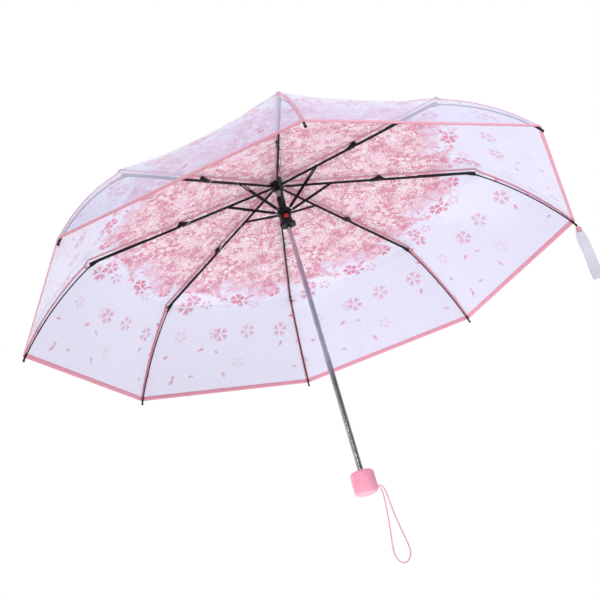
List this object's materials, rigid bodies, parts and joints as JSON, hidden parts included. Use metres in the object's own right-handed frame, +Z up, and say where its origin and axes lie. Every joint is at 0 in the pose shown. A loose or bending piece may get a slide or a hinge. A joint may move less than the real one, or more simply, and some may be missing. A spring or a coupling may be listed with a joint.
{
  "type": "compact umbrella",
  "caption": "Open compact folding umbrella with a clear printed film canopy, black folding ribs, telescopic steel shaft and a short pink handle with a wrist cord.",
  "frame": {"origin": "centre of the handle's flat bottom face", "axes": "+Z up the shaft from the handle to the crown; rib 0 lies along -Y and rib 2, which has the closure strap, along +X"},
  "size_m": [0.9708, 0.9614, 0.697],
  "materials": {
    "pink_handle": "soft-touch matte",
    "white_plastic": "moulded",
    "pink_cord": "braided cord",
    "steel": "bright plated tube",
    "black_plastic": "moulded",
    "black_rib": "black enamel",
    "red_button": "gloss",
    "clear_film": "clear film with a pink blossom print",
    "pink_binding": "woven edge tape"
  },
  "bodies": {
    "handle": {"handle_grip": "pink_handle", "handle_insert": "white_plastic", "base_cap": "pink_handle", "tube_pin": "steel", "wrist_cord": "pink_cord", "cord_knot": "pink_cord", "lower_tube": "steel"},
    "middle_tube": {"middle_tube": "steel"},
    "crown": {"upper_tube": "steel", "top_notch": "black_plastic", "notch_wire": "steel", "crown_cap": "black_plastic", "canopy": "clear_film", "hem_binding": "pink_binding"},
    "runner": {"runner": "black_plastic", "runner_wire": "steel", "button_spring": "steel"},
    "button": {"runner_button": "red_button"},
    "strap": {"closure_strap": "clear_film"},
    "inner_rib_0": {"inner_rib_0": "black_rib"},
    "middle_rib_0": {"middle_rib_0": "black_rib"},
    "outer_rib_0": {"outer_rib_0": "black_rib"},
    "stretcher_0": {"stretcher_0": "black_rib"},
    "link_wire_0": {"link_wire_0": "black_rib"},
    "inner_rib_1": {"inner_rib_1": "black_rib"},
    "middle_rib_1": {"middle_rib_1": "black_rib"},
    "outer_rib_1": {"outer_rib_1": "black_rib"},
    "stretcher_1": {"stretcher_1": "black_rib"},
    "link_wire_1": {"link_wire_1": "black_rib"},
    "inner_rib_2": {"inner_rib_2": "black_rib"},
    "middle_rib_2": {"middle_rib_2": "black_rib"},
    "outer_rib_2": {"outer_rib_2": "black_rib"},
    "stretcher_2": {"stretcher_2": "black_rib"},
    "link_wire_2": {"link_wire_2": "black_rib"},
    "inner_rib_3": {"inner_rib_3": "black_rib"},
    "middle_rib_3": {"middle_rib_3": "black_rib"},
    "outer_rib_3": {"outer_rib_3": "black_rib"},
    "stretcher_3": {"stretcher_3": "black_rib"},
    "link_wire_3": {"link_wire_3": "black_rib"},
    "inner_rib_4": {"inner_rib_4": "black_rib"},
    "middle_rib_4": {"middle_rib_4": "black_rib"},
    "outer_rib_4": {"outer_rib_4": "black_rib"},
    "stretcher_4": {"stretcher_4": "black_rib"},
    "link_wire_4": {"link_wire_4": "black_rib"},
    "inner_rib_5": {"inner_rib_5": "black_rib"},
    "middle_rib_5": {"middle_rib_5": "black_rib"},
    "outer_rib_5": {"outer_rib_5": "black_rib"},
    "stretcher_5": {"stretcher_5": "black_rib"},
    "link_wire_5": {"link_wire_5": "black_rib"},
    "inner_rib_6": {"inner_rib_6": "black_rib"},
    "middle_rib_6": {"middle_rib_6": "black_rib"},
    "outer_rib_6": {"outer_rib_6": "black_rib"},
    "stretcher_6": {"stretcher_6": "black_rib"},
    "link_wire_6": {"link_wire_6": "black_rib"},
    "inner_rib_7": {"inner_rib_7": "black_rib"},
    "middle_rib_7": {"middle_rib_7": "black_rib"},
    "outer_rib_7": {"outer_rib_7": "black_rib"},
    "stretcher_7": {"stretcher_7": "black_rib"},
    "link_wire_7": {"link_wire_7": "black_rib"}
  },
  "joints": [
    {"name": "lower_telescope", "type": "slide", "parent": "handle", "child": "middle_tube", "axis": [0, 0, 1], "range_m": [-0.17, 0]},
    {"name": "upper_telescope", "type": "slide", "parent": "middle_tube", "child": "crown", "axis": [0, 0, 1], "range_m": [-0.142, 0]},
    {"name": "runner_slide", "type": "slide", "parent": "crown", "child": "runner", "axis": [0, 0, 1], "range_m": [-0.1267, 0], "deforming": ["canopy", "hem_binding"]},
    {"name": "button_press", "type": "slide", "parent": "runner", "child": "button", "axis": [0, 1, 0], "range_m": [0, 0.0016], "stiffness_N_per_m": 900, "springref_m": -0.0006, "deforming": ["button_spring"]},
    {"name": "notch_hinge_0", "type": "hinge", "parent": "crown", "child": "inner_rib_0", "pos_m": [0, -0.008, 0.562], "axis": [-1, 0, 0], "range_deg": [-75.9, 0.5]},
    {"name": "elbow_hinge_0", "type": "hinge", "parent": "inner_rib_0", "child": "middle_rib_0", "pos_m": [0, -0.18013, 0.53589], "axis": [-1, 0, 0], "range_deg": [-0.5, 178.5]},
    {"name": "knee_hinge_0", "type": "hinge", "parent": "middle_rib_0", "child": "outer_rib_0", "pos_m": [0, -0.34358, 0.49594], "axis": [-1, 0, 0], "range_deg": [-144.5, 0.5]},
    {"name": "stretcher_hinge_0", "type": "hinge", "parent": "runner", "child": "stretcher_0", "pos_m": [0, -0.01, 0.51], "axis": [-1, 0, 0], "range_deg": [-0.5, 64.82]},
    {"name": "link_slide_0", "type": "slide", "parent": "inner_rib_0", "child": "link_wire_0", "axis": [0, -0.9829, -0.184], "range_m": [-0.0001, 0.0081]},
    {"name": "notch_hinge_1", "type": "hinge", "parent": "crown", "child": "inner_rib_1", "pos_m": [0.00566, -0.00566, 0.562], "axis": [-0.7071, -0.7071, 0], "range_deg": [-75.9, 0.5]},
    {"name": "elbow_hinge_1", "type": "hinge", "parent": "inner_rib_1", "child": "middle_rib_1", "pos_m": [0.12737, -0.12737, 0.53589], "axis": [-0.7071, -0.7071, 0], "range_deg": [-0.5, 178.5]},
    {"name": "knee_hinge_1", "type": "hinge", "parent": "middle_rib_1", "child": "outer_rib_1", "pos_m": [0.24294, -0.24294, 0.49594], "axis": [-0.7071, -0.7071, 0], "range_deg": [-144.5, 0.5]},
    {"name": "stretcher_hinge_1", "type": "hinge", "parent": "runner", "child": "stretcher_1", "pos_m": [0.00707, -0.00707, 0.51], "axis": [-0.7071, -0.7071, 0], "range_deg": [-0.5, 64.82]},
    {"name": "link_slide_1", "type": "slide", "parent": "inner_rib_1", "child": "link_wire_1", "axis": [0.695, -0.695, -0.184], "range_m": [-0.0001, 0.0081]},
    {"name": "notch_hinge_2", "type": "hinge", "parent": "crown", "child": "inner_rib_2", "pos_m": [0.008, 0, 0.562], "axis": [0, -1, 0], "range_deg": [-75.9, 0.5]},
    {"name": "elbow_hinge_2", "type": "hinge", "parent": "inner_rib_2", "child": "middle_rib_2", "pos_m": [0.18013, 0, 0.53589], "axis": [0, -1, 0], "range_deg": [-0.5, 178.5]},
    {"name": "knee_hinge_2", "type": "hinge", "parent": "middle_rib_2", "child": "outer_rib_2", "pos_m": [0.34358, 0, 0.49594], "axis": [0, -1, 0], "range_deg": [-144.5, 0.5]},
    {"name": "stretcher_hinge_2", "type": "hinge", "parent": "runner", "child": "stretcher_2", "pos_m": [0.01, 0, 0.51], "axis": [0, -1, 0], "range_deg": [-0.5, 64.82]},
    {"name": "link_slide_2", "type": "slide", "parent": "inner_rib_2", "child": "link_wire_2", "axis": [0.9829, 0, -0.184], "range_m": [-0.0001, 0.0081]},
    {"name": "notch_hinge_3", "type": "hinge", "parent": "crown", "child": "inner_rib_3", "pos_m": [0.00566, 0.00566, 0.562], "axis": [0.7071, -0.7071, 0], "range_deg": [-75.9, 0.5]},
    {"name": "elbow_hinge_3", "type": "hinge", "parent": "inner_rib_3", "child": "middle_rib_3", "pos_m": [0.12737, 0.12737, 0.53589], "axis": [0.7071, -0.7071, 0], "range_deg": [-0.5, 178.5]},
    {"name": "knee_hinge_3", "type": "hinge", "parent": "middle_rib_3", "child": "outer_rib_3", "pos_m": [0.24294, 0.24294, 0.49594], "axis": [0.7071, -0.7071, 0], "range_deg": [-144.5, 0.5]},
    {"name": "stretcher_hinge_3", "type": "hinge", "parent": "runner", "child": "stretcher_3", "pos_m": [0.00707, 0.00707, 0.51], "axis": [0.7071, -0.7071, 0], "range_deg": [-0.5, 64.82]},
    {"name": "link_slide_3", "type": "slide", "parent": "inner_rib_3", "child": "link_wire_3", "axis": [0.695, 0.695, -0.184], "range_m": [-0.0001, 0.0081]},
    {"name": "notch_hinge_4", "type": "hinge", "parent": "crown", "child": "inner_rib_4", "pos_m": [0, 0.008, 0.562], "axis": [1, 0, 0], "range_deg": [-75.9, 0.5]},
    {"name": "elbow_hinge_4", "type": "hinge", "parent": "inner_rib_4", "child": "middle_rib_4", "pos_m": [0, 0.18013, 0.53589], "axis": [1, 0, 0], "range_deg": [-0.5, 178.5]},
    {"name": "knee_hinge_4", "type": "hinge", "parent": "middle_rib_4", "child": "outer_rib_4", "pos_m": [0, 0.34358, 0.49594], "axis": [1, 0, 0], "range_deg": [-144.5, 0.5]},
    {"name": "stretcher_hinge_4", "type": "hinge", "parent": "runner", "child": "stretcher_4", "pos_m": [0, 0.01, 0.51], "axis": [1, 0, 0], "range_deg": [-0.5, 64.82]},
    {"name": "link_slide_4", "type": "slide", "parent": "inner_rib_4", "child": "link_wire_4", "axis": [0, 0.9829, -0.184], "range_m": [-0.0001, 0.0081]},
    {"name": "notch_hinge_5", "type": "hinge", "parent": "crown", "child": "inner_rib_5", "pos_m": [-0.00566, 0.00566, 0.562], "axis": [0.7071, 0.7071, 0], "range_deg": [-75.9, 0.5]},
    {"name": "elbow_hinge_5", "type": "hinge", "parent": "inner_rib_5", "child": "middle_rib_5", "pos_m": [-0.12737, 0.12737, 0.53589], "axis": [0.7071, 0.7071, 0], "range_deg": [-0.5, 178.5]},
    {"name": "knee_hinge_5", "type": "hinge", "parent": "middle_rib_5", "child": "outer_rib_5", "pos_m": [-0.24294, 0.24294, 0.49594], "axis": [0.7071, 0.7071, 0], "range_deg": [-144.5, 0.5]},
    {"name": "stretcher_hinge_5", "type": "hinge", "parent": "runner", "child": "stretcher_5", "pos_m": [-0.00707, 0.00707, 0.51], "axis": [0.7071, 0.7071, 0], "range_deg": [-0.5, 64.82]},
    {"name": "link_slide_5", "type": "slide", "parent": "inner_rib_5", "child": "link_wire_5", "axis": [-0.695, 0.695, -0.184], "range_m": [-0.0001, 0.0081]},
    {"name": "notch_hinge_6", "type": "hinge", "parent": "crown", "child": "inner_rib_6", "pos_m": [-0.008, 0, 0.562], "axis": [0, 1, 0], "range_deg": [-75.9, 0.5]},
    {"name": "elbow_hinge_6", "type": "hinge", "parent": "inner_rib_6", "child": "middle_rib_6", "pos_m": [-0.18013, 0, 0.53589], "axis": [0, 1, 0], "range_deg": [-0.5, 178.5]},
    {"name": "knee_hinge_6", "type": "hinge", "parent": "middle_rib_6", "child": "outer_rib_6", "pos_m": [-0.34358, 0, 0.49594], "axis": [0, 1, 0], "range_deg": [-144.5, 0.5]},
    {"name": "stretcher_hinge_6", "type": "hinge", "parent": "runner", "child": "stretcher_6", "pos_m": [-0.01, 0, 0.51], "axis": [0, 1, 0], "range_deg": [-0.5, 64.82]},
    {"name": "link_slide_6", "type": "slide", "parent": "inner_rib_6", "child": "link_wire_6", "axis": [-0.9829, 0, -0.184], "range_m": [-0.0001, 0.0081]},
    {"name": "notch_hinge_7", "type": "hinge", "parent": "crown", "child": "inner_rib_7", "pos_m": [-0.00566, -0.00566, 0.562], "axis": [-0.7071, 0.7071, 0], "range_deg": [-75.9, 0.5]},
    {"name": "elbow_hinge_7", "type": "hinge", "parent": "inner_rib_7", "child": "middle_rib_7", "pos_m": [-0.12737, -0.12737, 0.53589], "axis": [-0.7071, 0.7071, 0], "range_deg": [-0.5, 178.5]},
    {"name": "knee_hinge_7", "type": "hinge", "parent": "middle_rib_7", "child": "outer_rib_7", "pos_m": [-0.24294, -0.24294, 0.49594], "axis": [-0.7071, 0.7071, 0], "range_deg": [-144.5, 0.5]},
    {"name": "stretcher_hinge_7", "type": "hinge", "parent": "runner", "child": "stretcher_7", "pos_m": [-0.00707, -0.00707, 0.51], "axis": [-0.7071, 0.7071, 0], "range_deg": [-0.5, 64.82]},
    {"name": "link_slide_7", "type": "slide", "parent": "inner_rib_7", "child": "link_wire_7", "axis": [-0.695, -0.695, -0.184], "range_m": [-0.0001, 0.0081]},
    {"name": "strap_hang", "type": "hinge", "parent": "outer_rib_2", "child": "strap", "pos_m": [0.47962, 0, 0.34918], "axis": [0, -1, 0], "range_deg": [-0.5, 41.9]}
  ],
  "couplings": [
    {"joint": "notch_hinge_0", "follows": "runner_slide", "rad_per_m": 10.387},
    {"joint": "elbow_hinge_0", "follows": "runner_slide", "rad_per_m": -24.52},
    {"joint": "knee_hinge_0", "follows": "runner_slide", "rad_per_m": 19.836},
    {"joint": "stretcher_hinge_0", "follows": "runner_slide", "rad_per_m": -8.8598},
    {"joint": "link_slide_0", "follows": "runner_slide", "ratio": -0.063141},
    {"joint": "notch_hinge_1", "follows": "runner_slide", "rad_per_m": 10.387},
    {"joint": "elbow_hinge_1", "follows": "runner_slide", "rad_per_m": -24.52},
    {"joint": "knee_hinge_1", "follows": "runner_slide", "rad_per_m": 19.836},
    {"joint": "stretcher_hinge_1", "follows": "runner_slide", "rad_per_m": -8.8598},
    {"joint": "link_slide_1", "follows": "runner_slide", "ratio": -0.063141},
    {"joint": "notch_hinge_2", "follows": "runner_slide", "rad_per_m": 10.387},
    {"joint": "elbow_hinge_2", "follows": "runner_slide", "rad_per_m": -24.52},
    {"joint": "knee_hinge_2", "follows": "runner_slide", "rad_per_m": 19.836},
    {"joint": "stretcher_hinge_2", "follows": "runner_slide", "rad_per_m": -8.8598},
    {"joint": "link_slide_2", "follows": "runner_slide", "ratio": -0.063141},
    {"joint": "notch_hinge_3", "follows": "runner_slide", "rad_per_m": 10.387},
    {"joint": "elbow_hinge_3", "follows": "runner_slide", "rad_per_m": -24.52},
    {"joint": "knee_hinge_3", "follows": "runner_slide", "rad_per_m": 19.836},
    {"joint": "stretcher_hinge_3", "follows": "runner_slide", "rad_per_m": -8.8598},
    {"joint": "link_slide_3", "follows": "runner_slide", "ratio": -0.063141},
    {"joint": "notch_hinge_4", "follows": "runner_slide", "rad_per_m": 10.387},
    {"joint": "elbow_hinge_4", "follows": "runner_slide", "rad_per_m": -24.52},
    {"joint": "knee_hinge_4", "follows": "runner_slide", "rad_per_m": 19.836},
    {"joint": "stretcher_hinge_4", "follows": "runner_slide", "rad_per_m": -8.8598},
    {"joint": "link_slide_4", "follows": "runner_slide", "ratio": -0.063141},
    {"joint": "notch_hinge_5", "follows": "runner_slide", "rad_per_m": 10.387},
    {"joint": "elbow_hinge_5", "follows": "runner_slide", "rad_per_m": -24.52},
    {"joint": "knee_hinge_5", "follows": "runner_slide", "rad_per_m": 19.836},
    {"joint": "stretcher_hinge_5", "follows": "runner_slide", "rad_per_m": -8.8598},
    {"joint": "link_slide_5", "follows": "runner_slide", "ratio": -0.063141},
    {"joint": "notch_hinge_6", "follows": "runner_slide", "rad_per_m": 10.387},
    {"joint": "elbow_hinge_6", "follows": "runner_slide", "rad_per_m": -24.52},
    {"joint": "knee_hinge_6", "follows": "runner_slide", "rad_per_m": 19.836},
    {"joint": "stretcher_hinge_6", "follows": "runner_slide", "rad_per_m": -8.8598},
    {"joint": "link_slide_6", "follows": "runner_slide", "ratio": -0.063141},
    {"joint": "notch_hinge_7", "follows": "runner_slide", "rad_per_m": 10.387},
    {"joint": "elbow_hinge_7", "follows": "runner_slide", "rad_per_m": -24.52},
    {"joint": "knee_hinge_7", "follows": "runner_slide", "rad_per_m": 19.836},
    {"joint": "stretcher_hinge_7", "follows": "runner_slide", "rad_per_m": -8.8598},
    {"joint": "link_slide_7", "follows": "runner_slide", "ratio": -0.063141},
    {"joint": "strap_hang", "follows": "runner_slide", "rad_per_m": -5.703}
  ]
}
